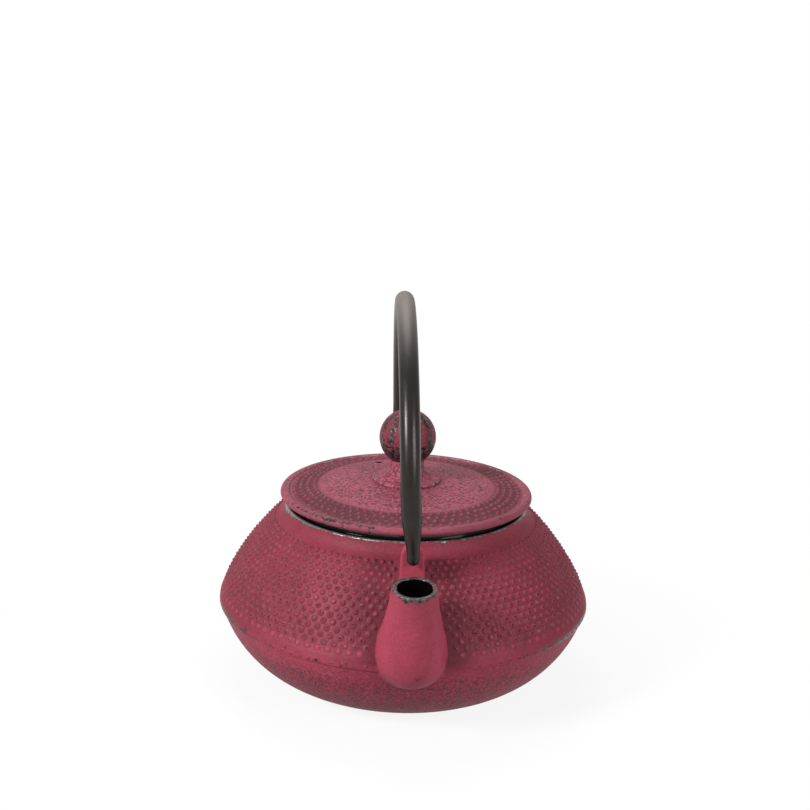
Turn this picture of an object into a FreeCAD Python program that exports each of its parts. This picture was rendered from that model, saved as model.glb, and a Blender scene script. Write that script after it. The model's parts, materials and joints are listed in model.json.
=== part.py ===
import FreeCAD
import Part
import math
import os

# Cast iron teapot with a bail handle, a knobbed lid and a lift-out infuser, in millimetres.
# The origin is the centre of the flat base, +Z is up and the spout points along -Y.

# Driving dimensions of the pot casting
base_r = 43.0
base_wall = 3.5
wall = 3.0
belly_r = 82.0
seam_z = 35.0
seam_step = 0.5
bowl_bulge = 6.3
belly_round_height = 5.0
belly_round_run = 1.5
belly_round_bulge = 0.45
shoulder_bulge = 0.65
collar_z = 79.0
collar_rim = 5.4
band_run = 7.4
band_drop = 6.0
band_hollow = 0.5
mouth_r = 44.6
ledge_width = 3.6
ledge_depth = 3.0
ledge_thickness = 3.5

# Driving dimensions of the spout
spout_sink = 6.0
spout_root_rise = 5.0
spout_reach = 12.0
spout_rise = 33.0
spout_root_r = 14.3
spout_lip_r = 9.0
spout_root_wall = 3.0
spout_lip_wall = 2.1
spout_mouth_tilt = 7.0
spout_belly_share = 0.40
spout_neck_share = 0.60
spout_neck_flare = 1.6

# Driving dimensions of the ears and of the hinge pins in them
ear_offset = 1.75
ear_thickness = 4.5
ear_width = 9.2
ear_foot_spread = 2.0
pivot_drop = 1.0
pin_r = 2.0
pin_clearance = 0.08
pin_tail = 1.2

# Driving dimensions of the bail
bail_r = 4.1
bail_wall = 1.2
bail_tip_r = 2.5
bail_tip_bore_r = 1.6
bail_leg = 19.5
bail_ear_gap = 0.75
bail_lean = 2.2
hook_shank_length = 12.0
hook_clearance = 0.05

# Driving dimensions of the lid
lid_overhang = 1.8
lid_gap = 2.8
lid_bead_width = 4.1
lid_bead_height = 3.2
lid_bead_step = 0.8
lid_thickness = 3.0
lid_crown = 4.7
lid_crown_bulge = 0.75
lid_boss_margin = 0.5
lid_seat_width = 2.6
lid_skirt_clearance = 0.8
lid_skirt_depth = 1.8
lid_skirt_width = 3.0
vent_r = 1.5
vent_x = -11.4
vent_y = 30.4

# Driving dimensions of the knob
knob_r = 12.4
knob_neck_r = 7.4
knob_seat_r = 15.0
knob_seat_edge = 1.6
knob_seat_height = 9.6
knob_flare_share = 0.35
knob_flare_low = 0.1
knob_flare_high = 0.3
knob_thread_depth = 12.0
stud_r = 2.5
stud_clearance = 0.1
stud_head_r = 4.2
stud_head_height = 2.0
washer_r = 7.0
washer_thickness = 1.0

# Driving dimensions of the infuser
infuser_clearance = 1.0
infuser_depth = 36.0
infuser_sheet = 0.6
infuser_mesh = 0.5
infuser_fit = 0.05
rim_clearance = 0.3
rim_sleeve = 8.0
hem_height = 4.0
slot_width = 1.2
slot_height = 6.5
slot_tiers = 3
slot_count = 60
drain_r = 0.9
drain_pitch = 6.0

# Places that follow from the driving dimensions
ledge_z = collar_z - ledge_depth
rebate_r = mouth_r + ledge_width
collar_r = rebate_r + collar_rim
shoulder_top = (collar_r + band_run, collar_z - band_drop)
shoulder_foot = (belly_r - belly_round_run, seam_z + belly_round_height)
bowl_rim = (belly_r - seam_step, seam_z)
pivot_z = collar_z - pivot_drop
ear_inner_y = shoulder_top[0] + ear_offset
ear_outer_y = ear_inner_y + ear_thickness
leg_y = ear_outer_y + bail_ear_gap + bail_tip_r
arch_z = pivot_z + bail_leg
seat_z = collar_z
bead_z = collar_z + lid_gap
lid_r = collar_r + lid_overhang
boss_r = knob_seat_r + lid_boss_margin
boss_z = bead_z + lid_bead_height - lid_bead_step + lid_crown
knob_foot_z = boss_z + knob_seat_height
under_boss_z = boss_z - lid_thickness
rim_sleeve_r = mouth_r - infuser_clearance
basket_r = rim_sleeve_r - infuser_sheet - infuser_fit
basket_z = ledge_z - infuser_depth

Z_AXIS = FreeCAD.Vector(0, 0, 1)
Y_AXIS = FreeCAD.Vector(0, 1, 0)
X_AXIS = FreeCAD.Vector(1, 0, 0)
CENTRE = FreeCAD.Vector(0, 0, 0)


def flat(point):
    """A point (radius, height) of a turned outline, in the XZ plane."""
    return FreeCAD.Vector(point[0], 0, point[1])


def edge(start, end, bulge=0.0):
    """A straight edge, or an arc that stands off its chord to the right of the way it runs."""
    if not bulge:
        return Part.LineSegment(flat(start), flat(end)).toShape()
    run = end[0] - start[0]
    rise = end[1] - start[1]
    share = bulge / math.hypot(run, rise)
    middle = ((start[0] + end[0]) / 2 + rise * share, (start[1] + end[1]) / 2 - run * share)
    return Part.Arc(flat(start), flat(middle), flat(end)).toShape()


def curve(poles):
    """A smooth edge that leaves its first pole and reaches its last along the ones between."""
    bend = Part.BezierCurve()
    bend.setPoles([flat(pole) for pole in poles])
    return bend.toShape()


def turn(edges):
    """The solid that a closed outline sweeps about the Z axis."""
    return Part.Face(Part.Wire(edges)).revolve(CENTRE, Z_AXIS, 360)


def lathe(points):
    """The solid turned from an outline of points (radius, height) or (radius, height, bulge)."""
    closed = points + [points[0]]
    return turn([edge(a[:2], b[:2], *b[2:]) for a, b in zip(closed, closed[1:])])


def ring(inner_r, outer_r, low_z, high_z):
    """A flat or tubular ring about the Z axis."""
    return lathe([(inner_r, low_z), (outer_r, low_z), (outer_r, high_z), (inner_r, high_z)])


def arc_centre(start, end, bulge):
    """The centre and radius of the arc that edge() draws."""
    run = end[0] - start[0]
    rise = end[1] - start[1]
    chord = math.hypot(run, rise)
    radius = chord * chord / (8 * bulge) + bulge / 2
    share = (bulge - radius) / chord
    return ((start[0] + end[0]) / 2 + rise * share, (start[1] + end[1]) / 2 - run * share), radius


def inside(arc, thickness, z):
    """The point at height z on the inner face of a wall whose outer face is that arc."""
    centre, radius = arc
    return (centre[0] + math.sqrt((radius - thickness) ** 2 - (z - centre[1]) ** 2), z)


def inner_bulge(arc, thickness, start, end):
    """How far the inner face of the wall stands off its chord between two of its points."""
    radius = arc[1] - thickness
    return radius - math.sqrt(radius ** 2 - math.dist(start, end) ** 2 / 4)


def rod(start, end, radius):
    """A round bar between two points."""
    along = end - start
    return Part.makeCylinder(radius, along.Length, start, along)


def pot_hull():
    """The outer shape of the pot: bowl, parting line, shoulder and collar."""
    return lathe([
        (0, 0),
        (base_r, 0),
        bowl_rim + (bowl_bulge,),
        (belly_r, seam_z),
        shoulder_foot + (belly_round_bulge,),
        shoulder_top + (shoulder_bulge,),
        (collar_r, collar_z, -band_hollow),
        (0, collar_z),
    ])


def pot_cavity():
    """The space inside the pot, with the mouth and the ledge that carries the infuser."""
    bowl = arc_centre((base_r, 0), bowl_rim, bowl_bulge)
    shoulder = arc_centre(shoulder_foot, shoulder_top, shoulder_bulge)
    floor_edge = inside(bowl, wall, base_wall)
    bowl_edge = inside(bowl, wall, seam_z)
    belly_edge = inside(shoulder, wall, shoulder_foot[1])
    neck_edge = inside(shoulder, wall, shoulder_top[1] - wall)
    above = collar_z + wall
    return lathe([
        (0, base_wall),
        floor_edge,
        bowl_edge + (inner_bulge(bowl, wall, floor_edge, bowl_edge),),
        belly_edge,
        neck_edge + (inner_bulge(shoulder, wall, belly_edge, neck_edge),),
        (mouth_r, ledge_z - ledge_thickness),
        (mouth_r, ledge_z),
        (rebate_r, ledge_z),
        (rebate_r, above),
        (0, above),
    ])


def spout_form(root_wall, lip_wall):
    """The spout's round form inside a wall: a ball at the root that narrows to the lip."""
    length = math.hypot(spout_reach, spout_rise)
    root = spout_root_r - root_wall
    lip = spout_lip_r - lip_wall
    top = length + spout_lip_r
    form = turn([
        edge((0, -root), (root, 0), root * (1 - math.sqrt(0.5))),
        curve([
            (root, 0),
            (root, length * spout_belly_share),
            (lip + spout_neck_flare, length * spout_neck_share),
            (lip, length),
        ]),
        edge((lip, length), (lip, top)),
        edge((lip, top), (0, top)),
        edge((0, top), (0, -root)),
    ])
    form.rotate(CENTRE, X_AXIS, math.degrees(math.atan2(spout_reach, spout_rise)))
    form.translate(FreeCAD.Vector(0, spout_sink - belly_r, seam_z + spout_root_rise))
    return form


def above_spout_mouth():
    """All that lies over the plane of the spout's mouth."""
    size = 4 * spout_root_r
    block = Part.makeBox(size, size, size, FreeCAD.Vector(-size / 2, -size / 2, 0))
    block.rotate(CENTRE, X_AXIS, spout_mouth_tilt)
    mouth_y = spout_sink - belly_r - spout_reach
    block.translate(FreeCAD.Vector(0, mouth_y, seam_z + spout_root_rise + spout_rise))
    return block


def ear(side):
    """An upright tongue on the shoulder, round at the top about the pivot hole."""
    half = ear_width / 2
    foot = half + ear_foot_spread
    foot_z = shoulder_top[1] - ear_width
    y = side * ear_inner_y
    corners = [(-foot, foot_z), (foot, foot_z), (half, pivot_z), (-half, pivot_z)]
    points = [FreeCAD.Vector(x, y, z) for x, z in corners]
    crown = FreeCAD.Vector(0, y, pivot_z + half)
    outline = Part.Wire([
        Part.LineSegment(points[0], points[1]).toShape(),
        Part.LineSegment(points[1], points[2]).toShape(),
        Part.Arc(points[2], crown, points[3]).toShape(),
        Part.LineSegment(points[3], points[0]).toShape(),
    ])
    return Part.Face(outline).extrude(FreeCAD.Vector(0, side * ear_thickness, 0))


def pivot_hole(side):
    """The hole through one ear, with running clearance for the hinge pin."""
    start = FreeCAD.Vector(0, side * (ear_inner_y - wall), pivot_z)
    end = FreeCAD.Vector(0, side * (ear_outer_y + wall), pivot_z)
    return rod(start, end, pin_r + pin_clearance)


def pot_body():
    """The pot casting: bowl, shoulder, collar, spout and both ears in one piece."""
    spout = spout_form(0, 0).cut(above_spout_mouth())
    casting = pot_hull().fuse([spout, ear(-1), ear(1)])
    bore = spout_form(spout_root_wall, spout_lip_wall)
    return casting.cut([pot_cavity(), bore, pivot_hole(-1), pivot_hole(1)]).removeSplitter()


def lid():
    """The domed lid with its rounded rim, its seat on the collar and its skirt in the mouth."""
    bead_round = lid_bead_height / 2
    bead_top = bead_z + lid_bead_height
    field_r = lid_r - lid_bead_width
    field_z = bead_top - lid_bead_step
    skirt_r = rebate_r - lid_skirt_clearance
    hollow_r = skirt_r - lid_skirt_width
    hollow_z = field_z - lid_thickness
    stud_hole = stud_r + stud_clearance
    plate = lathe([
        (stud_hole, under_boss_z),
        (boss_r, under_boss_z),
        (hollow_r, hollow_z, -lid_crown_bulge),
        (hollow_r, seat_z - lid_skirt_depth),
        (skirt_r, seat_z - lid_skirt_depth),
        (skirt_r, seat_z),
        (skirt_r + lid_seat_width, seat_z),
        (skirt_r + lid_seat_width, bead_z),
        (lid_r - bead_round, bead_z),
        (lid_r - bead_round, bead_top, bead_round),
        (field_r + lid_bead_step, bead_top),
        (field_r, field_z),
        (boss_r, boss_z, lid_crown_bulge),
        (stud_hole, boss_z),
    ])
    vent = Part.makeCylinder(vent_r, boss_z, FreeCAD.Vector(vent_x, vent_y, collar_z), Z_AXIS)
    return plate.cut(vent)


def knob_seat():
    """The flared foot under the knob, like the bell of a trumpet."""
    hole = stud_r + stud_clearance
    edge_z = boss_z + knob_seat_edge
    flare_run = (knob_seat_r - knob_neck_r) * knob_flare_share
    flare_rise = knob_foot_z - edge_z
    return turn([
        edge((hole, boss_z), (knob_seat_r, boss_z)),
        edge((knob_seat_r, boss_z), (knob_seat_r, edge_z)),
        curve([
            (knob_seat_r, edge_z),
            (knob_neck_r + flare_run, edge_z + flare_rise * knob_flare_low),
            (knob_neck_r, edge_z + flare_rise * knob_flare_high),
            (knob_neck_r, knob_foot_z),
        ]),
        edge((knob_neck_r, knob_foot_z), (hole, knob_foot_z)),
        edge((hole, knob_foot_z), (hole, boss_z)),
    ])


def knob_ball():
    """The ball of the knob, flat where it stands on its seat and bored for the stud."""
    centre_z = knob_foot_z + math.sqrt(knob_r ** 2 - knob_neck_r ** 2)
    ball = Part.makeSphere(knob_r, FreeCAD.Vector(0, 0, centre_z))
    below = Part.makeCylinder(2 * knob_r, knob_r, FreeCAD.Vector(0, 0, knob_foot_z), -Z_AXIS)
    socket = Part.makeCylinder(
        stud_r + stud_clearance,
        knob_thread_depth,
        FreeCAD.Vector(0, 0, knob_foot_z),
        Z_AXIS,
    )
    return ball.cut([below, socket])


def stud_washer():
    """The washer between the lid and the stud's head."""
    return ring(stud_r + stud_clearance, washer_r, under_boss_z - washer_thickness, under_boss_z)


def knob_stud():
    """The stud that draws the knob and its seat down on the lid, with a domed head below."""
    head_z = under_boss_z - washer_thickness
    return lathe([
        (0, head_z - stud_head_height),
        (stud_head_r, head_z, stud_head_height / 4),
        (stud_r, head_z),
        (stud_r, knob_foot_z + knob_thread_depth),
        (0, knob_foot_z + knob_thread_depth),
    ])


def leaning(shape):
    """The bail's pieces stand a little to the left of upright about the pivot pins."""
    shape.rotate(FreeCAD.Vector(0, 0, pivot_z), Y_AXIS, -bail_lean)
    return shape


def bail_tube():
    """The hollow bail: a half circle of tube with both ends swaged down to a tip."""
    tip_z = pivot_z + bail_tip_r
    springing = FreeCAD.Vector(0, leg_y, arch_z)
    bore_r = bail_r - bail_wall
    section = Part.Face([
        Part.Wire(Part.makeCircle(bail_r, springing, Z_AXIS)),
        Part.Wire(Part.makeCircle(bore_r, springing, Z_AXIS)),
    ])
    tube = section.revolve(FreeCAD.Vector(0, 0, arch_z), X_AXIS, 180)
    leg = lathe([(bail_tip_bore_r, tip_z), (bail_tip_r, tip_z), (bail_r, arch_z), (bore_r, arch_z)])
    legs = [leg.translated(FreeCAD.Vector(0, side * leg_y, 0)) for side in (-1, 1)]
    return leaning(tube.fuse(legs).removeSplitter())


def bail_hook(side):
    """The solid hook in one tip of the bail: a shank in the tube, an elbow and the hinge pin."""
    elbow = FreeCAD.Vector(0, side * leg_y, pivot_z)
    tip = elbow + Z_AXIS * bail_tip_r
    tail = FreeCAD.Vector(0, side * (ear_inner_y - pin_tail), pivot_z)
    shank = rod(tip, tip + Z_AXIS * hook_shank_length, bail_tip_bore_r - hook_clearance)
    knuckle = Part.makeSphere(bail_tip_r, elbow)
    neck = rod(elbow, tip, bail_tip_r)
    pin = rod(elbow, tail, pin_r)
    return leaning(knuckle.fuse([neck, shank, pin]).removeSplitter())


def infuser_rim():
    """The pressed rim that hangs on the ledge of the mouth, with a sleeve for the basket."""
    flange_r = rebate_r - rim_clearance
    inner = rim_sleeve_r - infuser_sheet
    return lathe([
        (inner, ledge_z - rim_sleeve),
        (rim_sleeve_r, ledge_z - rim_sleeve),
        (rim_sleeve_r, ledge_z),
        (flange_r, ledge_z),
        (flange_r, ledge_z + infuser_sheet),
        (inner, ledge_z + infuser_sheet),
    ])


def infuser_wall():
    """The basket's wall of thin sheet, slotted all round in tiers."""
    wall_ring = ring(basket_r - infuser_mesh, basket_r, basket_z, ledge_z + infuser_sheet)
    low = basket_z + hem_height
    pitch = (ledge_z - rim_sleeve - low) / slot_tiers
    slots = []
    for tier in range(slot_tiers):
        z = low + pitch * (tier + 0.5) - slot_height / 2
        corner = FreeCAD.Vector(basket_r - 2 * infuser_mesh, -slot_width / 2, z)
        for place in range(slot_count):
            slot = Part.makeBox(3 * infuser_mesh, slot_width, slot_height, corner)
            slot.rotate(CENTRE, Z_AXIS, 360.0 * (place + 0.5 * (tier % 2)) / slot_count)
            slots.append(slot)
    return wall_ring.cut(slots)


def infuser_bottom():
    """The basket's bottom disc with rings of drain holes."""
    disc_r = basket_r - infuser_mesh - infuser_fit
    disc = Part.makeCylinder(disc_r, infuser_sheet, FreeCAD.Vector(0, 0, basket_z), Z_AXIS)
    hole = Part.makeCylinder(drain_r, 3 * infuser_sheet, FreeCAD.Vector(0, 0, basket_z - infuser_sheet))
    holes = [hole]
    for row in range(1, int((disc_r - drain_pitch / 2) / drain_pitch) + 1):
        for place in range(6 * row):
            drain = hole.translated(FreeCAD.Vector(row * drain_pitch, 0, 0))
            drain.rotate(CENTRE, Z_AXIS, 60.0 * place / row)
            holes.append(drain)
    return disc.cut(holes)


def infuser_hem():
    """The hoop crimped round the foot of the basket, which holds its wall and bottom together."""
    inner = basket_r + infuser_fit
    foot_r = basket_r - infuser_mesh - infuser_fit - drain_pitch / 4
    return lathe([
        (foot_r, basket_z - infuser_sheet),
        (inner + infuser_sheet, basket_z - infuser_sheet),
        (inner + infuser_sheet, basket_z + hem_height),
        (inner, basket_z + hem_height),
        (inner, basket_z),
        (foot_r, basket_z),
    ])


pieces = {
    "pot_body": pot_body(),
    "lid": lid(),
    "knob_seat": knob_seat(),
    "knob_ball": knob_ball(),
    "knob_stud": knob_stud(),
    "stud_washer": stud_washer(),
    "bail_tube": bail_tube(),
    "front_hook": bail_hook(-1),
    "rear_hook": bail_hook(1),
    "infuser_rim": infuser_rim(),
    "infuser_wall": infuser_wall(),
    "infuser_bottom": infuser_bottom(),
    "infuser_hem": infuser_hem(),
}

os.makedirs("parts", exist_ok=True)
for name, shape in pieces.items():
    box = shape.BoundBox
    print(name, shape.isValid(), len(shape.Solids), round(shape.Volume, 1),
          [round(value, 2) for value in (box.XMin, box.XMax, box.YMin, box.YMax, box.ZMin, box.ZMax)])
    shape.exportStep("parts/" + name + ".step")
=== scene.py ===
import json
import math
import random

import bpy
import numpy as np
from mathutils import Matrix, Vector


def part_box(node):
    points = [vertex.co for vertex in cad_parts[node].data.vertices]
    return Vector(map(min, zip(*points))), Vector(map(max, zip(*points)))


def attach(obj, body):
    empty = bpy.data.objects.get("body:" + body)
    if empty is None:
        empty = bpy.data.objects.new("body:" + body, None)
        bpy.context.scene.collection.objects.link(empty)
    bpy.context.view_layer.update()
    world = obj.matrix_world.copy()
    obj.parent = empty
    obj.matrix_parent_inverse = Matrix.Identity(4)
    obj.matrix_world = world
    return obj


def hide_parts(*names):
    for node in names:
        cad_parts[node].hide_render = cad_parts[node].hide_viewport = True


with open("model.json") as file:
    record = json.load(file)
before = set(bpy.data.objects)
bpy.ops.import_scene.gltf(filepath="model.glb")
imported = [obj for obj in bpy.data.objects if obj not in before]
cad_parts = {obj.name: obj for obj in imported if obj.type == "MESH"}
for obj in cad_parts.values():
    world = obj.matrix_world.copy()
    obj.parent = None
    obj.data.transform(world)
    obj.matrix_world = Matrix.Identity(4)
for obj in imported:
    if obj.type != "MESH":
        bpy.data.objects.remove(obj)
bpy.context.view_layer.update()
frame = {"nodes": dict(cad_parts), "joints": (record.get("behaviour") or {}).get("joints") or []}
MM = 0.001

# The stage: a white sweep under soft studio light, with the camera a little left of the spout,
# above the lid and turned a touch clockwise, as a product photograph of the pot is taken.
view_azimuth = math.radians(-2.75)
view_pitch = math.radians(14.51)
view_roll = math.radians(1.63)
view_lens = 63.24
view_from = Vector((-30.4, -599.2, 278.1)) * MM

scene = bpy.context.scene
scene.view_settings.view_transform = "Standard"
bpy.ops.object.camera_add()
camera = bpy.context.object
camera.data.lens = view_lens
camera.data.sensor_width = 36.0
camera.matrix_world = (
    Matrix.Translation(view_from)
    @ Matrix.Rotation(view_azimuth, 4, "Z")
    @ Matrix.Rotation(math.pi / 2 - view_pitch, 4, "X")
    @ Matrix.Rotation(view_roll, 4, "Z")
)
scene.camera = camera


def softbox(name, place, aim, size, power):
    """A square soft light that faces a point on the pot."""
    bpy.ops.object.light_add(type="AREA", location=place)
    lamp = bpy.context.object
    lamp.name = name
    lamp.data.shape = "SQUARE"
    lamp.data.size = size
    lamp.data.energy = power
    lamp.rotation_euler = (Vector(aim) - Vector(place)).to_track_quat("-Z", "Y").to_euler()
    return lamp


pot_middle = (0, 0, 0.06)
softbox("key_light", (-0.98, -0.70, 0.80), pot_middle, 0.30, 19.0)
softbox("fill_light", (0.90, -0.90, 0.62), pot_middle, 0.5, 8.5)
softbox("top_light", (-0.1, 0.55, 1.2), pot_middle, 0.9, 8.0)


def new_material(name):
    """An empty node material with its surface shader, and short calls to add and join nodes."""
    material = bpy.data.materials.new(name)
    material.use_nodes = True
    tree = material.node_tree
    shader = tree.nodes["Principled BSDF"]

    def add(kind, **inputs):
        node = tree.nodes.new("ShaderNode" + kind)
        for key, value in inputs.items():
            if key.startswith("in_"):
                socket = node.inputs[int(key[3:])]
                if hasattr(value, "is_output"):
                    tree.links.new(value, socket)
                else:
                    socket.default_value = value
            else:
                setattr(node, key, value)
        return node

    def join(output, name_or_index, node=shader):
        tree.links.new(output, node.inputs[name_or_index])

    return material, shader, add, join


bpy.ops.mesh.primitive_plane_add(size=8)
floor = bpy.context.object
floor.name = "floor"
floor_paint, floor_shader, add, join = new_material("white_sweep")
floor_shader.inputs["Roughness"].default_value = 0.9
rays = add("LightPath")
tone = add("MapRange", in_0=rays.outputs["Is Camera Ray"], in_3=0.25, in_4=0.86)
join(tone.outputs[0], "Base Color")
spot = add("TexCoord").outputs["Object"]
away = add("VectorMath", operation="LENGTH", in_0=spot)
fade = add("MapRange", in_0=away.outputs["Value"], in_1=0.09, in_2=0.20, in_3=0.88, in_4=1.0)
seen = add("Math", operation="MAXIMUM", in_0=rays.outputs["Is Camera Ray"])
join(rays.outputs["Is Glossy Ray"], 1, seen)
share = add("Math", operation="MULTIPLY", in_0=seen.outputs[0], in_1=fade.outputs[0])
glow = add("Emission", in_0=(1, 1, 1, 1))
sweep = add("MixShader", in_0=share.outputs[0], in_1=floor_shader.outputs[0], in_2=glow.outputs[0])
join(sweep.outputs[0], 0, floor_paint.node_tree.nodes["Material Output"])
floor.data.materials.append(floor_paint)

world = bpy.data.worlds.new("studio")
world.use_nodes = True
scene.world = world
sky = world.node_tree
sky_light = sky.nodes["Background"]
sky_light.inputs["Color"].default_value = (1, 1, 1, 1)
sky_rays = sky.nodes.new("ShaderNodeLightPath")
sky_sheen = sky.nodes.new("ShaderNodeMath")
sky_sheen.operation = "MULTIPLY_ADD"
sky_sheen.inputs[1].default_value = 0.38
sky_sheen.inputs[2].default_value = 0.22
sky_strength = sky.nodes.new("ShaderNodeMath")
sky_strength.operation = "MAXIMUM"
sky.links.new(sky_rays.outputs["Is Glossy Ray"], sky_sheen.inputs[0])
sky.links.new(sky_rays.outputs["Is Camera Ray"], sky_strength.inputs[0])
sky.links.new(sky_sheen.outputs[0], sky_strength.inputs[1])
sky.links.new(sky_strength.outputs[0], sky_light.inputs["Strength"])

# The pot: one sand casting in iron with the spout and both ears on it, hobnails pressed into the
# mould of the shoulder, raspberry paint outside that handling has rubbed, and black enamel inside.
belly_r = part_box("pot_body")[1].x
base_r = 44.2 * MM
bowl_rim_r = belly_r - 0.9 * MM
bowl_bulge = 6.9 * MM
seam_z = 35.0 * MM
seam_rise = 0.8 * MM
shoulder_foot = (belly_r - 1.5 * MM, 40.0 * MM)
shoulder_top = (58.0 * MM, 72.3 * MM)
shoulder_bulge = 1.75 * MM
collar_r = 53.2 * MM
collar_z = 79.0 * MM
collar_round = 0.9 * MM
neck_hollow = 1.0 * MM
rebate_r = 48.2 * MM
ledge_z = 76.0 * MM
mouth_r = 44.6 * MM
throat = (56.6 * MM, 69.6 * MM)
inner_shoulder = (77.1 * MM, 40.0 * MM)
inner_belly = (78.3 * MM, seam_z)
inner_foot = (44.2 * MM, 3.5 * MM)
pot_segments = 208


def arc(start, end, bulge, steps):
    """Points after the start on an arc that stands off its chord to the right of the way it runs."""
    (r0, z0), (r1, z1) = start, end
    chord = math.hypot(r1 - r0, z1 - z0)
    side = ((z1 - z0) / chord, -(r1 - r0) / chord)
    radius = chord * chord / (8 * abs(bulge)) + abs(bulge) / 2
    reach = math.asin(chord / (2 * radius))
    points = []
    for step in range(1, steps + 1):
        turn = reach * (2 * step / steps - 1)
        along = 0.5 + radius * math.sin(turn) / chord
        off = math.copysign(radius * (math.cos(turn) - math.cos(reach)), bulge)
        points.append((r0 + (r1 - r0) * along + side[0] * off, z0 + (z1 - z0) * along + side[1] * off))
    return points


def bezier(poles, steps):
    """Points after the first of four poles on the curve that they draw."""
    points = []
    for t in np.linspace(0, 1, steps + 1)[1:]:
        shares = ((1 - t) ** 3, 3 * t * (1 - t) ** 2, 3 * t * t * (1 - t), t ** 3)
        points.append(tuple(sum(share * pole[i] for share, pole in zip(shares, poles)) for i in (0, 1)))
    return points


def in_order():
    """Numbers a mesh's elements by their distance from one point, so that each run gives the same mesh."""
    scene.cursor.location = (0.31, 0.173, 0.237)
    bpy.ops.mesh.sort_elements(type="CURSOR_DISTANCE", elements={"VERT", "EDGE", "FACE"})
    scene.cursor.location = (0, 0, 0)


def turned(name, outline, segments, start_closed=True, end_closed=True):
    """A round piece drawn up ring by ring from a disc at the first point of its outline."""
    bpy.ops.object.select_all(action="DESELECT")
    fill = "TRIFAN" if start_closed else "NOTHING"
    (r0, z0) = outline[0]
    bpy.ops.mesh.primitive_circle_add(vertices=segments, radius=r0, fill_type=fill, location=(0, 0, z0))
    piece = bpy.context.object
    piece.name = name
    bpy.ops.object.transform_apply(location=True, rotation=False, scale=False)
    bpy.ops.object.mode_set(mode="EDIT")
    bpy.ops.mesh.select_mode(type="EDGE")
    bpy.ops.mesh.select_all(action="SELECT")
    if start_closed:
        bpy.ops.mesh.region_to_loop()
    for (r, z), (next_r, next_z) in zip(outline, outline[1:]):
        bpy.ops.mesh.extrude_edges_move(TRANSFORM_OT_translate={"value": (0, 0, next_z - z)})
        bpy.ops.transform.resize(value=(next_r / r, next_r / r, 1), center_override=(0, 0, next_z))
    if end_closed:
        bpy.ops.mesh.extrude_edges_move()
        bpy.ops.mesh.merge(type="CENTER")
    bpy.ops.mesh.select_all(action="SELECT")
    bpy.ops.mesh.normals_make_consistent(inside=False)
    in_order()
    bpy.ops.object.mode_set(mode="OBJECT")
    return piece


def carve(piece, tool, operation):
    """Joins a tool to a piece, or cuts it away, and removes the tool."""
    bpy.ops.object.select_all(action="DESELECT")
    bpy.context.view_layer.objects.active = piece
    cut = piece.modifiers.new("carve", "BOOLEAN")
    cut.object = tool
    cut.operation = operation
    cut.solver = "EXACT"
    cut.material_mode = "TRANSFER"
    bpy.ops.object.modifier_apply(modifier=cut.name)
    bpy.data.objects.remove(tool)


def merge(piece, other):
    """Makes one mesh of a piece and what is cast on it."""
    bpy.ops.object.select_all(action="DESELECT")
    other.select_set(True)
    piece.select_set(True)
    bpy.context.view_layer.objects.active = piece
    bpy.ops.object.join()


def smooth(piece, degrees):
    """Shades a piece smooth, except across edges sharper than an angle."""
    bpy.ops.object.select_all(action="DESELECT")
    piece.select_set(True)
    bpy.context.view_layer.objects.active = piece
    bpy.ops.object.shade_smooth_by_angle(angle=math.radians(degrees))


def corners(piece):
    """The places of a piece's vertices, as an array."""
    places = np.empty(len(piece.data.vertices) * 3)
    piece.data.vertices.foreach_get("co", places)
    return places.reshape(-1, 3)


def mark(piece, name, values):
    """Stores one number for each vertex, for the material to read."""
    layer = piece.data.attributes.get(name) or piece.data.attributes.new(name, "FLOAT", "POINT")
    layer.data.foreach_set("value", np.clip(values, 0, 1).astype(np.float32))


def near(distance, width):
    """Falls from 1 on a line to 0 well away from it."""
    return np.exp(-(distance / width) ** 2)


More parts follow.
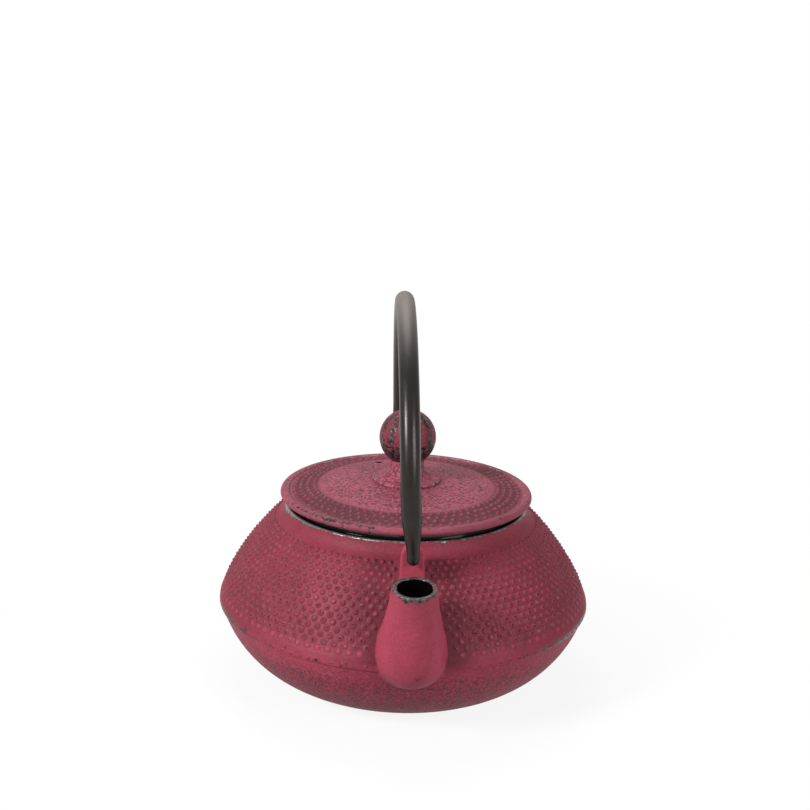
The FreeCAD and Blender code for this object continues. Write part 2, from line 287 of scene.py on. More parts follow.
def worn_paint(name, tone, grit, specks, fleck_tone):
    """Matt raspberry paint on cast iron: sandy grain, dark specks, bare iron where it is rubbed, and painted
    shade where a piece marks it.
    """
    material, shader, add, join = new_material(name)
    place = add("TexCoord").outputs["Object"]
    sand = add("TexNoise", in_0=place, in_2=820.0, in_3=3.0, in_4=0.6)
    blotch = add("TexNoise", in_0=place, in_2=75.0, in_3=3.0, in_4=0.55)
    scuff = add("TexNoise", in_0=place, in_2=330.0, in_3=4.0, in_4=0.65)
    fleck = add("TexNoise", in_0=place, in_2=620.0, in_3=2.0, in_4=0.5)
    sandy = add("Attribute", attribute_name="sandy").outputs["Fac"]
    painted_shade = add("Attribute", attribute_name="painted_shade").outputs["Fac"]
    cover = add("ValToRGB", in_0=blotch.outputs[0])
    cover.color_ramp.elements[0].position = 0.30
    cover.color_ramp.elements[0].color = (tone[0] * 0.86, tone[1] * 0.84, tone[2] * 0.84, 1)
    cover.color_ramp.elements[1].position = 0.72
    cover.color_ramp.elements[1].color = (tone[0] * 1.08, tone[1] * 1.12, tone[2] * 1.10, 1)
    shade = add("MapRange", in_0=sand.outputs[0], in_1=0.38, in_2=0.62, in_3=0.30, in_4=1.55)
    grain = add("MapRange", in_0=sandy, in_3=0.06, in_4=grit)
    dust = add("MixRGB", blend_type="MULTIPLY", in_0=grain.outputs[0], in_1=cover.outputs[0])
    join(shade.outputs[0], 2, dust)
    # Painted shade: the paint is multiplied darker where a piece marks it as shaded.
    shade_darkened = add("MixRGB", blend_type="MULTIPLY", in_0=painted_shade, in_1=dust.outputs[0], in_2=(0.26, 0.18, 0.20, 1))
    bare = add("ValToRGB", in_0=sand.outputs[0])
    bare.color_ramp.elements[0].position = 0.46
    bare.color_ramp.elements[0].color = (0.014, 0.011, 0.011, 1)
    bare.color_ramp.elements[1].position = 0.68
    bare.color_ramp.elements[1].color = (0.150, 0.116, 0.110, 1)
    polish = add("Attribute", attribute_name="polish").outputs["Fac"]
    bright = add("MixRGB", in_0=polish, in_1=bare.outputs[0], in_2=(0.46, 0.43, 0.42, 1))
    rubbed = add("Attribute", attribute_name="wear").outputs["Fac"]
    rub_noise = add("Math", operation="MULTIPLY_ADD", in_0=scuff.outputs[0], in_1=2.2, in_2=rubbed)
    rub = add("MapRange", in_0=rub_noise.outputs[0], in_1=1.62, in_2=1.74)
    fleck_noise = add("Math", operation="MULTIPLY_ADD", in_0=sandy, in_1=0.17, in_2=fleck.outputs[0])
    speck = add("MapRange", in_0=fleck_noise.outputs[0], in_1=specks, in_2=specks + 0.09)
    speck_share = add("Math", operation="MULTIPLY", in_0=speck.outputs[0], in_1=0.8)
    flecked = add("MixRGB", in_0=speck_share.outputs[0], in_1=shade_darkened.outputs[0], in_2=(*fleck_tone, 1))
    tips = add("Attribute", attribute_name="tip").outputs["Fac"]
    tip_noise = add("Math", operation="MULTIPLY_ADD", in_0=fleck.outputs[0], in_1=0.30, in_2=tips)
    tip = add("MapRange", in_0=tip_noise.outputs[0], in_1=0.55, in_2=0.75)
    mask = add("Math", operation="MAXIMUM", in_0=rub.outputs[0], in_1=tip.outputs[0])
    colour = add("MixRGB", in_0=mask.outputs[0], in_1=flecked.outputs[0], in_2=bright.outputs[0])
    join(colour.outputs[0], "Base Color")
    gloss = add("MapRange", in_0=mask.outputs[0], in_3=0.58, in_4=0.32)
    join(gloss.outputs[0], "Roughness")
    shader.inputs["Specular IOR Level"].default_value = 0.22
    steely = add("MapRange", in_0=polish, in_3=0.3, in_4=0.9)
    metal = add("Math", operation="MULTIPLY", in_0=mask.outputs[0], in_1=steely.outputs[0])
    join(metal.outputs[0], "Metallic")
    depth = add("MapRange", in_0=sandy, in_3=0.10, in_4=1.0)
    rough = add("Math", operation="MULTIPLY", in_0=sand.outputs[0], in_1=depth.outputs[0])
    height = add("Math", operation="MULTIPLY_ADD", in_0=mask.outputs[0], in_1=-0.25, in_2=rough.outputs[0])
    relief = add("Bump", in_0=0.75, in_1=0.0009)
    join(height.outputs[0], "Height", relief)
    join(relief.outputs[0], "Normal")
    return material


def black_enamel(name):
    """Glossy black enamel fired on the inside, a little uneven where it ran."""
    material, shader, add, join = new_material(name)
    place = add("TexCoord").outputs["Object"]
    run = add("TexNoise", in_0=place, in_2=160.0, in_3=2.0)
    tint = add("ValToRGB", in_0=run.outputs[0])
    tint.color_ramp.elements[0].color = (0.0015, 0.0015, 0.0015, 1)
    tint.color_ramp.elements[1].color = (0.006, 0.0055, 0.0055, 1)
    join(tint.outputs[0], "Base Color")
    gloss = add("MapRange", in_0=run.outputs[0], in_3=0.08, in_4=0.18)
    join(gloss.outputs[0], "Roughness")
    relief = add("Bump", in_0=0.12, in_1=0.0006)
    join(run.outputs[0], "Height", relief)
    join(relief.outputs[0], "Normal")
    return material


raspberry = (0.376, 0.051, 0.088)
pot_paint = worn_paint("pot_paint", raspberry, 0.58, 0.725, (0.052, 0.048, 0.045))
enamel = black_enamel("pot_enamel")

shoulder_line = [shoulder_foot] + arc(shoulder_foot, shoulder_top, shoulder_bulge, 18)
pot_skin = [(base_r, 0.0)]
pot_skin += arc(pot_skin[-1], (bowl_rim_r, seam_z - seam_rise), bowl_bulge, 16)
pot_skin += [(belly_r - 0.15 * MM, seam_z - 0.45 * MM), (belly_r, seam_z)]
pot_skin += arc(pot_skin[-1], shoulder_foot, 0.45 * MM, 5)
pot_skin += shoulder_line[1:]
pot_skin += arc(pot_skin[-1], (collar_r, collar_z - collar_round), -neck_hollow, 8)
pot_skin += arc(pot_skin[-1], (collar_r - collar_round, collar_z), 0.25 * MM, 4)
pot_inside = [(rebate_r, collar_z), (rebate_r, ledge_z), (mouth_r, ledge_z), (mouth_r, ledge_z - 3.5 * MM)]
pot_inside += [throat]
pot_inside += arc(throat, inner_shoulder, -0.6 * MM, 8)
pot_inside += arc(inner_shoulder, inner_belly, -0.3 * MM, 3)
pot_inside += arc(inner_belly, inner_foot, -5.4 * MM, 14)

pot = turned("pot_casting", pot_skin + pot_inside, pot_segments)
pot.data.materials.append(pot_paint)
pot.data.materials.append(enamel)
spout_root = Vector((0, -76.0, 40.0)) * MM
spout_mouth = Vector((0, -88.0, 73.0)) * MM
spout_root_r = 13.9 * MM
spout_lip_r = 9.0 * MM
spout_bore_r = 6.9 * MM
spout_mouth_tilt = math.radians(7.0)
spout_fillet = 2.4 * MM
spout_flare = 0.8 * MM
spout_axis = spout_mouth - spout_root
spout_tilt = math.atan2(-spout_axis.y, spout_axis.z)
spout_turn = Matrix.Translation(spout_root) @ Matrix.Rotation(spout_tilt, 4, "X")


def spout_line(thinner_root, thinner_lip, beyond):
    """The spout's outline about its own axis, from the foot of its ball to past the mouth."""
    root = spout_root_r - thinner_root
    lip = spout_lip_r - thinner_lip
    length = spout_axis.length
    poles = [(root, 0), (root, 0.34 * length), (lip + 0.9 * MM, 0.55 * length), (lip, length)]
    line = [(root * math.sin(a), -root * math.cos(a)) for a in np.linspace(0.12, math.pi / 2, 10)]
    return line + bezier(poles, 18) + [(lip, length + beyond)]


def off_skin(places):
    """How far points lie outside the pot's skin, negative inside it."""
    reach = np.hypot(places[:, 0], places[:, 1])
    best = np.full(len(places), np.inf)
    for (r0, z0), (r1, z1) in zip(pot_skin, pot_skin[1:]):
        run, rise = r1 - r0, z1 - z0
        t = np.clip(((reach - r0) * run + (places[:, 2] - z0) * rise) / (run * run + rise * rise), 0, 1)
        best = np.minimum(best, np.hypot(reach - r0 - t * run, places[:, 2] - z0 - t * rise))
    order = np.array(pot_skin)
    skin_r = np.interp(places[:, 2], order[:, 1], order[:, 0])
    return np.where(reach > skin_r, best, -best)


middles = np.array([face.center for face in pot.data.polygons])
lined = (np.abs(off_skin(middles)) > 0.12 * MM) & (middles[:, 2] > 0.1 * MM)
pot.data.polygons.foreach_set("material_index", lined.astype(np.int32))

spout = turned("spout", spout_line(0, 0, 8 * MM), 64)
spout.data.transform(spout_turn)
spout_places = corners(spout)
gap = off_skin(spout_places)
lean = np.array(spout_axis.normalized())
from_root = spout_places - np.array(spout_root)
outward = from_root - np.outer(from_root @ lean, lean)
outward /= np.linalg.norm(outward, axis=1, keepdims=True) + 1e-9
push = spout_flare * np.clip(1 - gap / spout_fillet, 0, 1.3) ** 2
spout_places += outward * push[:, None]
spout.data.vertices.foreach_set("co", spout_places.ravel())
spout.data.materials.append(pot_paint)

bpy.ops.mesh.primitive_cube_add(size=0.06, location=(0, 0, 0.03))
over_mouth = bpy.context.object
bpy.ops.object.transform_apply(location=True, rotation=False, scale=False)
over_mouth.data.transform(Matrix.Translation(spout_mouth) @ Matrix.Rotation(spout_mouth_tilt, 4, "X"))
over_mouth.data.materials.append(pot_paint)
carve(spout, over_mouth, "DIFFERENCE")
carve(pot, spout, "UNION")
bore = turned("bore", spout_line(3.0 * MM, spout_lip_r - spout_bore_r, 8 * MM), 48)
bore.data.transform(spout_turn)
bore.data.materials.append(enamel)
carve(pot, bore, "DIFFERENCE")

lip_up = Vector((0, -math.sin(spout_mouth_tilt), math.cos(spout_mouth_tilt)))
bpy.ops.object.select_all(action="DESELECT")
bpy.context.view_layer.objects.active = pot
pot.select_set(True)
bpy.ops.object.mode_set(mode="EDIT")
bpy.ops.mesh.select_mode(type="EDGE")
bpy.ops.mesh.select_all(action="DESELECT")
bpy.ops.object.mode_set(mode="OBJECT")
for edge in pot.data.edges:
    ends = [pot.data.vertices[v].co - spout_mouth for v in edge.vertices]
    level = max(abs(end.dot(lip_up)) for end in ends)
    reach = max(end.length for end in ends)
    length = (ends[0] - ends[1]).length
    edge.select = level < 0.02 * MM and reach < 12 * MM and length < 1.6 * MM
bpy.ops.object.mode_set(mode="EDIT")
bpy.ops.mesh.bevel(offset=0.6 * MM, segments=4, affect="EDGES")
bpy.ops.object.mode_set(mode="OBJECT")

pivot = Vector(frame["joints"][0]["pos_m"])
ear_half = 4.6 * MM
ear_y = 65.0 * MM
ear_depth = 4.5 * MM
ear_foot_z = 61.5 * MM
ear_foot_spread = 1.2 * MM
pin_hole_r = 2.2 * MM
for side in (-1, 1):
    bpy.ops.object.select_all(action="DESELECT")
    bpy.ops.mesh.primitive_cylinder_add(vertices=40, radius=ear_half, depth=ear_depth)
    ear = bpy.context.object
    ear.data.transform(Matrix.Translation((0, side * ear_y, pivot.z)) @ Matrix.Rotation(math.pi / 2, 4, "X"))
    for corner in ear.data.vertices:
        if corner.co.z < pivot.z - 0.1 * MM:
            corner.co.x *= 1 + ear_foot_spread / ear_half
            corner.co.z = ear_foot_z
    bpy.ops.object.mode_set(mode="EDIT")
    bpy.ops.mesh.select_all(action="SELECT")
    bpy.ops.mesh.remove_doubles(threshold=0.01 * MM)
    bpy.ops.mesh.select_all(action="DESELECT")
    bpy.ops.mesh.select_mode(type="EDGE")
    bpy.ops.mesh.edges_select_sharp(sharpness=math.radians(50))
    bpy.ops.mesh.bevel(offset=0.9 * MM, segments=4, affect="EDGES")
    bpy.ops.object.mode_set(mode="OBJECT")
    ear.data.materials.append(pot_paint)
    bpy.ops.mesh.primitive_cylinder_add(vertices=32, radius=pin_hole_r, depth=4 * ear_depth)
    hole = bpy.context.object
    hole.data.transform(Matrix.Translation((0, side * ear_y, pivot.z)) @ Matrix.Rotation(math.pi / 2, 4, "X"))
    hole.data.materials.append(pot_paint)
    carve(ear, hole, "DIFFERENCE")
    merge(pot, ear)

places = corners(pot)
reach = np.hypot(places[:, 0], places[:, 1])
skin_gap = off_skin(places)
over_lip = (places - np.array(spout_mouth)) @ np.array(lip_up)
at_spout = (np.abs(places[:, 0]) < 12 * MM) & (places[:, 1] < -76 * MM)
bearing = np.degrees(np.arctan2(places[:, 0], -places[:, 1]))
seam_rubs = ((-68, 22, 0.50), (-28, 2.5, 0.38), (62, 24, 0.66), (150, 26, 0.52), (-140, 26, 0.52))
rough_seam = 0.30
for middle, spread, rubbed in seam_rubs:
    rough_seam = np.maximum(rough_seam, 0.30 + rubbed * near(bearing - middle, spread))
on_seam = (reach > 79.5 * MM) * (skin_gap > -MM)
wear = rough_seam * near(places[:, 2] - seam_z - 0.3 * MM, 2.0 * MM) * on_seam
on_collar = (reach > rebate_r - 0.1 * MM) * (reach < collar_r + 3 * MM) * (places[:, 2] > collar_z - 4 * MM)
rough_collar = 0.72 + 0.2 * near(bearing + 80, 30)
rough_collar += 0.16 * near(bearing + 20, 25) + 0.16 * near(bearing - 100, 40)
collar_width = MM * (0.9 + 1.2 * near(bearing + 85, 22) + 1.0 * near(bearing - 95, 22))
wear = np.maximum(wear, rough_collar * near(places[:, 2] - collar_z, collar_width) * on_collar)
lip_wear = 0.85 * near(over_lip, 0.5 * MM)
lip_chip = 1.10 * near(over_lip + 0.9 * MM, 1.2 * MM) * near(places[:, 0] + 0.5 * MM, 7 * MM)
lip_chip *= places[:, 1] < spout_mouth.y
wear = np.maximum(wear, np.where(at_spout, np.maximum(lip_wear, lip_chip), 0))
mark(pot, "wear", wear)
mark(pot, "tip", np.zeros(len(places)))
below_seam = np.clip((seam_z - places[:, 2]) / (9 * MM), 0, 1)
mark(pot, "sandy", np.where(skin_gap < 0.2 * MM, 0.15 + 0.85 * below_seam, 0.12))
bright = 0.62 * near(places[:, 2] - collar_z, 0.8 * collar_width) * on_collar
bright += 0.08 * np.where(at_spout, near(over_lip, 0.6 * MM), 0)
bright += 0.30 * near(places[:, 2] - seam_z, 1.5 * MM) * near(bearing - 64, 22) * (reach > 79.5 * MM)
mark(pot, "polish", bright)
on_skin = np.abs(skin_gap) < 0.3 * MM
above_seam = np.clip((places[:, 2] - 33 * MM) / (5 * MM), 0, 1)
in_field = on_skin * above_seam * (reach > shoulder_top[0])
on_band = on_skin * (reach < shoulder_top[0]) * (places[:, 2] > shoulder_top[1])
# Painted shade: the paint is darkened between the studs, more beside the spout and towards the sides, on the
# band under the lid's rim, and down the bowl below the seam.
beside_spout = near(np.abs(places[:, 0]) - 15 * MM, 9 * MM) * (places[:, 1] < 0)
at_side = np.clip((np.abs(bearing) - 30) / 40, 0, 1)
painted_shade = (0.42 + 0.46 * beside_spout + 0.22 * at_side) * in_field
mark(pot, "painted_shade", painted_shade + 0.48 * on_band + 0.2 * below_seam)
smooth(pot, 38)


def hobnail(name, material):
    """One low round stud of unit size, drawn out from its tip to a soft foot."""
    bell = [(0.17, 0.98), (0.36, 0.80), (0.57, 0.50), (0.79, 0.18), (1.0, -0.05)]
    stud = turned(name, bell, 10, end_closed=False)
    bpy.ops.object.shade_smooth()
    stud.data.materials.append(material)
    return stud


def studded(name, stud, seats):
    """Copies of the stud set on their seats: a matrix and the share of paint rubbed off its tip."""
    unit = corners(stud)
    count = len(unit)
    faces = [list(face.vertices) for face in stud.data.polygons]
    mesh = bpy.data.meshes.new(name)
    set_down = [unit @ np.array(seat.to_3x3()).T + np.array(seat.translation) for seat, _ in seats]
    all_places = np.concatenate(set_down)
    all_faces = [[v + count * i for v in face] for i in range(len(seats)) for face in faces]
    mesh.from_pydata(all_places.tolist(), [], all_faces)
    mesh.polygons.foreach_set("use_smooth", [True] * len(mesh.polygons))
    mesh.materials.append(stud.data.materials[0])
    field = bpy.data.objects.new(name, mesh)
    scene.collection.objects.link(field)
    mark(field, "wear", np.zeros(len(all_places)))
    mark(field, "tip", np.concatenate([np.clip(unit[:, 2] * 2.2 - 1.0, 0, 1) * rub for _, rub in seats]))
    mark(field, "sandy", np.full(len(all_places), 0.12))
    mark(field, "polish", np.tile(0.05 * (unit[:, 2] > 0.9), len(seats)))
    # Painted shade: each stud is darkened towards its foot.
    mark(field, "painted_shade", np.tile(0.12 + 0.62 * np.clip(1 - unit[:, 2], 0, 1) ** 1.4, len(seats)))
    bpy.data.objects.remove(stud)
    return field


random.seed(7)
studs_round = 110
stud_rows = 16
stud_width = 0.74
stud_height = 0.9 * MM
clear_of_root = 16.6 * MM
clear_of_lip = 11.6 * MM
line = np.array([(belly_r - 0.15 * MM, 36.2 * MM), (belly_r - 0.6 * MM, 38.2 * MM)] + shoulder_line)
steps = np.hypot(*np.diff(line, axis=0).T)
runs = np.concatenate([[0], np.cumsum(steps)])
row_runs = [0.0]
for row in range(stud_rows):
    row_runs.append(row_runs[-1] + np.interp(row_runs[-1], runs, line[:, 0]))
row_runs = 0.6 * MM + np.array(row_runs[:-1]) / row_runs[-2] * (runs[-1] - 1.2 * MM)
seats = []
for row, run in enumerate(row_runs):
    r = np.interp(run, runs, line[:, 0])
    z = np.interp(run, runs, line[:, 1])
    ahead = np.array([np.interp(run + 0.2 * MM, runs, line[:, k]) for k in (0, 1)])
    slope = ahead - np.array([np.interp(run - 0.2 * MM, runs, line[:, k]) for k in (0, 1)])
    slope /= np.linalg.norm(slope)
    pitch = 2 * math.pi * r / studs_round
    for place in range(studs_round):
        angle = 2 * math.pi * (place + 0.5 * (row % 2)) / studs_round
        x, y = r * math.sin(angle), -r * math.cos(angle)
        spot = np.array([[x, y, z]])
        along = (spot[0] - np.array(spout_root)) @ lean
        aside = np.linalg.norm(spot[0] - np.array(spout_root) - along * lean)
        clear = np.interp(along, [0, spout_axis.length], [clear_of_root, clear_of_lip])
        if -clear_of_root < along < spout_axis.length and aside < clear:
            continue
        if abs(x) < ear_half + 1.9 * MM and z > 62 * MM:
            continue
        normal = Vector((slope[1] * math.sin(angle), -slope[1] * math.cos(angle), -slope[0]))
        east = Vector((math.cos(angle), math.sin(angle), 0))
        north = normal.cross(east)
        size = 0.5 * stud_width * pitch * random.uniform(0.94, 1.06)
        tall = stud_height * random.uniform(0.8, 1.1) * min(1, 0.15 + 0.28 * row)
        seat = Matrix((east * size, north * size, normal * tall)).transposed().to_4x4()
        seat.translation = Vector((x, y, z))
        rubbed = random.uniform(0.66, 1.0) - 0.22 * (row / stud_rows) ** 2
        seats.append((seat, rubbed if row > 1 else 0.6 * rubbed))
merge(pot, studded("pot_hobnails", hobnail("stud", pot_paint), seats))
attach(pot, "pot")
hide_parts("pot_body")

# The infuser: a basket of thin stainless sheet, slotted and drilled, spot welded into a pressed rim
# that hangs on the ledge of the mouth, with its foot crimped in a hoop. Its CAD sheets are shown.


def brushed_sheet(name, tone, scale, rough):
    """Plain steel with fine lines from rolling and brushing."""
    material, shader, add, join = new_material(name)
    place = add("TexCoord").outputs["Object"]
    stretch = add("Mapping", in_0=place)
    stretch.inputs["Scale"].default_value = scale
    lines = add("TexNoise", in_0=stretch.outputs[0], in_2=600.0, in_3=3.0)
    tint = add("ValToRGB", in_0=lines.outputs[0])
    tint.color_ramp.elements[0].color = (tone * 0.75, tone * 0.75, tone * 0.74, 1)
    tint.color_ramp.elements[1].color = (tone * 1.1, tone * 1.1, tone * 1.08, 1)
    join(tint.outputs[0], "Base Color")
    gloss = add("MapRange", in_0=lines.outputs[0], in_3=rough - 0.06, in_4=rough + 0.10)
    join(gloss.outputs[0], "Roughness")
    shader.inputs["Metallic"].default_value = 1.0
    relief = add("Bump", in_0=0.1, in_1=0.0002)
    join(lines.outputs[0], "Height", relief)
    join(relief.outputs[0], "Normal")
    return material


def dress(node, material):
    """Gives a CAD piece its finish."""
    sheet = frame["nodes"][node]
    sheet.data.materials.clear()
    sheet.data.materials.append(material)


stainless = brushed_sheet("stainless_sheet", 0.58, (1, 1, 0.08), 0.28)
for node in ("infuser_rim", "infuser_wall", "infuser_bottom", "infuser_hem"):
    dress(node, stainless)

# The lid: an iron casting, slightly domed, with a rounded rim, four rings of hobnails inside it, a
# plain sandy centre, a steam vent and, in black enamel below, a seat and a skirt that fit the mouth.
lid_low, lid_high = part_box("lid")
lid_r = lid_high.x
bead_z = 81.8 * MM
bead_top = 85.0 * MM
bead_round = 1.6 * MM
field_r = lid_r - 4.1 * MM
field_z = bead_top - 0.8 * MM
boss_r = 15.5 * MM
boss_z = lid_high.z
lid_bulge = 0.75 * MM
seat_r = 50.0 * MM
skirt_r = 47.4 * MM
skirt_z = lid_low.z
hollow_r = skirt_r - 3.0 * MM
lid_thick = 3.0 * MM
# The lid's paint is a greyer copy of the pot's raspberry, a painted sheen from the light above; the knob's
# seat shares it.
lid_paint = worn_paint("lid_paint", (0.300, 0.062, 0.096), 0.98, 0.75, (0.185, 0.125, 0.135))

lid_top = arc((field_r, field_z), (boss_r, boss_z), lid_bulge, 16)
lid_under = [(boss_r, boss_z - lid_thick)]
lid_under += arc(lid_under[-1], (hollow_r, field_z - lid_thick), -lid_bulge, 8)
lid_line = [(2.6 * MM, boss_z - lid_thick)] + lid_under
lid_line += [(hollow_r, skirt_z), (skirt_r, skirt_z), (skirt_r, collar_z)]
lid_line += [(seat_r, collar_z), (seat_r, bead_z), (lid_r - bead_round, bead_z)]
lid_line += arc(lid_line[-1], (lid_r - bead_round, bead_top), bead_round * 0.999, 10)
lid_line += [(field_r + 1.3 * MM, bead_top)]
lid_line += arc(lid_line[-1], (field_r + 0.5 * MM, bead_top - 0.4 * MM), 0.1 * MM, 3)
lid_line += [(field_r, field_z)] + lid_top + [(2.6 * MM, boss_z)]
lid = turned("lid_casting", lid_line, 160, start_closed=False, end_closed=False)
bpy.ops.object.mode_set(mode="EDIT")
bpy.ops.mesh.select_all(action="DESELECT")
bpy.ops.mesh.select_non_manifold()
bpy.ops.mesh.bridge_edge_loops()
bpy.ops.mesh.select_all(action="SELECT")
bpy.ops.mesh.normals_make_consistent(inside=False)
bpy.ops.object.mode_set(mode="OBJECT")
lid.data.materials.append(lid_paint)
lid.data.materials.append(enamel)
for face in lid.data.polygons:
    away = math.hypot(face.center.x, face.center.y)
    face.material_index = int(face.center.z < bead_z - 0.1 * MM or (face.normal.z < -0.3 and away < seat_r))

vent_place = (-11.4 * MM, 30.4 * MM, boss_z)
bpy.ops.mesh.primitive_cylinder_add(vertices=24, radius=1.5 * MM, depth=12 * MM, location=vent_place)
vent = bpy.context.object
bpy.ops.object.transform_apply(location=True, rotation=False, scale=False)
vent.data.materials.append(enamel)
carve(lid, vent, "DIFFERENCE")

places = corners(lid)
away = np.hypot(places[:, 0], places[:, 1])
bearing = np.degrees(np.arctan2(places[:, 0], -places[:, 1]))
rough_rim = 0.33 + 0.46 * near(bearing + 40, 24)
rough_rim += 0.16 * near(bearing - 60, 20) + 0.16 * near(bearing - 150, 30)
wear = rough_rim * near(away - (lid_r - 1.0 * MM), 1.0 * MM) * (places[:, 2] > bead_z)
inner_edge = near(away - (field_r + 1.0 * MM), 0.6 * MM) * (places[:, 2] > bead_top - 0.6 * MM)
wear = np.maximum(wear, 0.60 * inner_edge)
mark(lid, "wear", wear)
mark(lid, "tip", np.zeros(len(places)))
mark(lid, "sandy", np.clip((38.5 * MM - away) / (2 * MM), 0.12, 0.9))
mark(lid, "polish", 0.45 * near(away - (field_r + 0.8 * MM), 0.35 * MM) * (places[:, 2] > bead_z))
# Painted shade: the ring of studs inside the bead is darkened.
mark(lid, "painted_shade", 0.10 + 0.80 * (away > 39 * MM) * (away < field_r) * (places[:, 2] > bead_z))
smooth(lid, 38)

lid_studs_round = 73
lid_stud_rows = 4
lid_row_pitch = 2.95 * MM
lid_outer_row_r = 49.4 * MM
lid_stud_height = 0.9 * MM
lid_curve = np.array([(field_r, field_z)] + lid_top)[::-1]
seats = []
for row in range(lid_stud_rows):
    r = lid_outer_row_r - row * lid_row_pitch
    z = np.interp(r, lid_curve[:, 0], lid_curve[:, 1])
    fall = (np.interp(r + MM, lid_curve[:, 0], lid_curve[:, 1]) - z) / MM
    pitch = 2 * math.pi * r / lid_studs_round
    for place in range(lid_studs_round):
        angle = 2 * math.pi * (place + 0.5 * (row % 2)) / lid_studs_round
        out = Vector((math.sin(angle), -math.cos(angle), 0))
        normal = (Vector((0, 0, 1)) - out * fall).normalized()
        east = Vector((math.cos(angle), math.sin(angle), 0))
        size = 0.5 * 0.66 * pitch * random.uniform(0.94, 1.06)
        long = 0.5 * 0.86 * lid_row_pitch
        tall = lid_stud_height * random.uniform(0.8, 1.1)
        seat = Matrix((east * size, normal.cross(east) * long, normal * tall)).transposed().to_4x4()
        seat.translation = out * r + Vector((0, 0, z))
        seats.append((seat, random.uniform(0.45, 1.0)))
merge(lid, studded("lid_hobnails", hobnail("stud", lid_paint), seats))
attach(lid, "lid")
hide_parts("lid")

# The knob's ball: cast iron, painted darker than the lid and drawn down on its seat by the stud.
# The mould's joints show on it as lines that the paint has left, and its underside is nearly bare.
ball_low, ball_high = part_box("knob_ball")
ball_r = (ball_high.x - ball_low.x) / 2
ball_z = ball_high.z - ball_r
neck_r = 7.4 * MM
neck_z = ball_low.z
knob_paint = worn_paint("knob_paint", (0.200, 0.033, 0.052), 0.85, 0.74, (0.16, 0.13, 0.13))

low_angle = math.asin(neck_r / ball_r)
ball_line = [(neck_r, neck_z)]
for a in np.linspace(low_angle, math.pi - 0.03, 64)[1:]:
    ball_line.append((ball_r * math.sin(a), ball_z - ball_r * math.cos(a)))
ball = turned("knob_ball_casting", ball_line, 128)
ball.data.materials.append(knob_paint)
places = corners(ball)
equator = ball_z - 2.4 * MM
turn = np.arctan2(places[:, 0], -places[:, 1])
wear = 1.05 * near(places[:, 2] - equator, 0.9 * MM)
for seam in (-68, -38, 50, 66, 140, 205):
    apart = (turn - math.radians(seam) + math.pi) % (2 * math.pi) - math.pi
    width = np.hypot(places[:, 0], places[:, 1]) * np.abs(apart)
    wear = np.maximum(wear, 0.16 + 0.62 * near(width, 1.8 * MM))
under = np.clip((equator - MM - places[:, 2]) / (7 * MM), 0, 1)
wear = np.maximum(wear, np.where(under > 0, 0.64 + 0.5 * under, 0))
mark(ball, "wear", wear)
mark(ball, "sandy", np.full(len(places), 0.35))
smooth(ball, 40)
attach(ball, "lid")
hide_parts("knob_ball")

# The knob's seat: a flared iron collar cast and painted like the lid, held between the ball and the
# lid by the stud that passes through it. Its thin foot is rubbed bright along the edge.
seat_low, seat_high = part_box("knob_seat")
foot_r = seat_high.x
foot_edge = seat_low.z + 1.3 * MM
seat_line = [(foot_r - 0.3 * MM, seat_low.z), (foot_r, seat_low.z + 0.4 * MM), (foot_r, foot_edge - 0.4 * MM)]
seat_line += [(foot_r - 0.4 * MM, foot_edge + 0.1 * MM)]
rise = seat_high.z - foot_edge
flare_pole = (neck_r + 2.7 * MM, foot_edge + 0.1 * rise)
neck_pole = (neck_r, foot_edge + 0.3 * rise)
poles = [seat_line[-1], flare_pole, neck_pole, (neck_r, seat_high.z)]
seat_line += bezier(poles, 14)
foot = turned("knob_seat_casting", seat_line, 64)
foot.data.materials.append(lid_paint)
places = corners(foot)
rim_gap = np.hypot(np.hypot(places[:, 0], places[:, 1]) - foot_r, places[:, 2] - foot_edge)
mark(foot, "wear", 0.45 * near(rim_gap, 0.9 * MM))
mark(foot, "sandy", np.full(len(places), 0.8))
mark(foot, "polish", 0.9 * near(rim_gap, 1.0 * MM))
smooth(foot, 40)
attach(foot, "lid")
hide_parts("knob_seat")

# The knob's stud and washer: plain turned steel, screwed up into the ball from under the lid, so
# that the washer bears on the enamel. Both are shown as their CAD pieces.
plain_steel = brushed_sheet("plain_steel", 0.34, (1, 1, 0.3), 0.36)
for node in ("knob_stud", "stud_washer"):
    dress(node, plain_steel)

# The bail: a steel tube bent to a half circle, its ends swaged down over solid hooks that turn
# inward through the ears, all with a satin black-brown coat. It leans left and is bent slightly askew.
tube_r = 4.1 * MM
tip_r = 2.5 * MM
leg_y = 70.5 * MM
arch_z = pivot.z + 19.5 * MM
tip_z = pivot.z + tip_r
leg_steps = 10
bail_lean = math.radians(-1.7)
bail_twist = math.radians(-0.75)


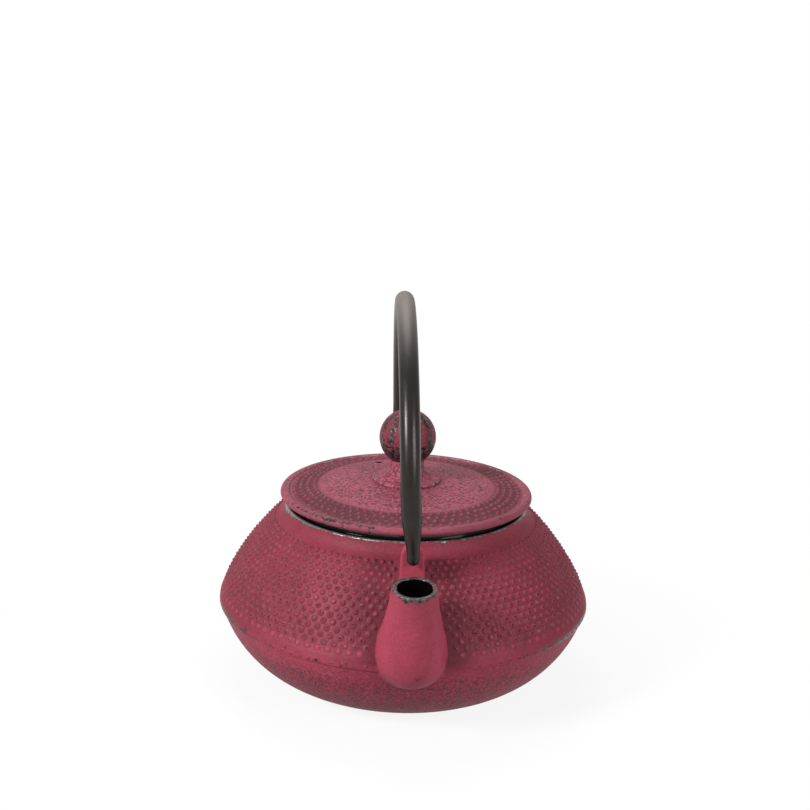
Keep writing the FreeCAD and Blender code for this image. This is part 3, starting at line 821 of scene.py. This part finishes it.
def satin_black(name):
    """A black-brown baked coat with faint streaks and a soft sheen, greyed by a painted sheen towards the top
    of the arch.
    """
    material, shader, add, join = new_material(name)
    place = add("TexCoord").outputs["Object"]
    streak = add("TexNoise", in_0=place, in_2=260.0, in_3=4.0)
    speckle = add("TexNoise", in_0=place, in_2=2400.0, in_3=2.0)
    tint = add("ValToRGB", in_0=streak.outputs[0])
    tint.color_ramp.elements[0].color = (0.006, 0.005, 0.0042, 1)
    tint.color_ramp.elements[1].color = (0.017, 0.0145, 0.0125, 1)
    # Painted sheen: the coat is greyed along the top of the arch, where the attribute is set.
    painted_sheen = add("Attribute", attribute_name="painted_sheen").outputs["Fac"]
    sheen_greyed = add("MixRGB", in_0=painted_sheen, in_1=tint.outputs[0], in_2=(0.158, 0.135, 0.124, 1))
    join(sheen_greyed.outputs[0], "Base Color")
    sheen = add("MapRange", in_0=streak.outputs[0], in_3=0.25, in_4=0.34)
    gloss = add("Math", operation="MULTIPLY_ADD", in_0=painted_sheen, in_1=0.22, in_2=sheen.outputs[0])
    join(gloss.outputs[0], "Roughness")
    shader.inputs["Specular IOR Level"].default_value = 0.32
    shader.inputs["Specular Tint"].default_value = (1.0, 0.92, 0.87, 1)
    relief = add("Bump", in_0=0.04, in_1=0.0002)
    join(speckle.outputs[0], "Height", relief)
    join(relief.outputs[0], "Normal")
    return material


def draw_leg(steps, y, radius, height):
    """Draws the open end of the tube along a leg, step by step, widening away from its tip."""
    for step in steps:
        share = step / leg_steps
        next_radius = tip_r + (tube_r - tip_r) * math.sin(share * math.pi / 2) ** 1.3
        next_height = tip_z + (arch_z - tip_z) * share
        bpy.ops.mesh.extrude_edges_move(TRANSFORM_OT_translate={"value": (0, 0, next_height - height)})
        grow = next_radius / radius
        bpy.ops.transform.resize(value=(grow, grow, 1), center_override=(0, y, next_height))
        radius = next_radius
        height = next_height


bail_coat = satin_black("bail_coat")
bpy.ops.object.select_all(action="DESELECT")
bpy.ops.mesh.primitive_circle_add(vertices=40, radius=tip_r, fill_type="NGON", location=(0, leg_y, tip_z))
bail = bpy.context.object
bail.name = "bail_handle"
bpy.ops.object.transform_apply(location=True, rotation=False, scale=False)
bpy.ops.object.mode_set(mode="EDIT")
bpy.ops.mesh.select_mode(type="EDGE")
bpy.ops.mesh.select_all(action="SELECT")
bpy.ops.mesh.region_to_loop()
draw_leg(range(1, leg_steps + 1), leg_y, tip_r, tip_z)
bpy.ops.mesh.spin(steps=72, angle=math.pi, center=(0, 0, arch_z), axis=(-1, 0, 0))
draw_leg(range(leg_steps - 1, -1, -1), -leg_y, tube_r, arch_z)
bpy.ops.mesh.edge_face_add()
bpy.ops.mesh.select_all(action="SELECT")
bpy.ops.mesh.normals_make_consistent(inside=False)
in_order()
bpy.ops.object.mode_set(mode="OBJECT")
smooth(bail, 40)
# Painted sheen, strongest at the top of the arch.
mark(bail, "painted_sheen", np.clip((corners(bail)[:, 2] - 148 * MM) / (22 * MM), 0, 1) ** 2)
bent = corners(bail)
bent[:, 0] -= bent[:, 1] * bail_twist * np.clip((bent[:, 2] - tip_z) / (25 * MM), 0, 1)
bail.data.vertices.foreach_set("co", bent.ravel())
upright = Matrix.Translation((0, 0, pivot.z))
bail.data.transform(upright @ Matrix.Rotation(bail_lean, 4, "Y") @ upright.inverted())
bail.data.materials.append(bail_coat)
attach(bail, "bail")
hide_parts("bail_tube")

# The hooks: solid steel rod bent inward, held in the swaged ends of the bail and free to turn in the
# ears. They carry the bail's coat and are shown as their CAD pieces.
for node in ("front_hook", "rear_hook"):
    dress(node, bail_coat)
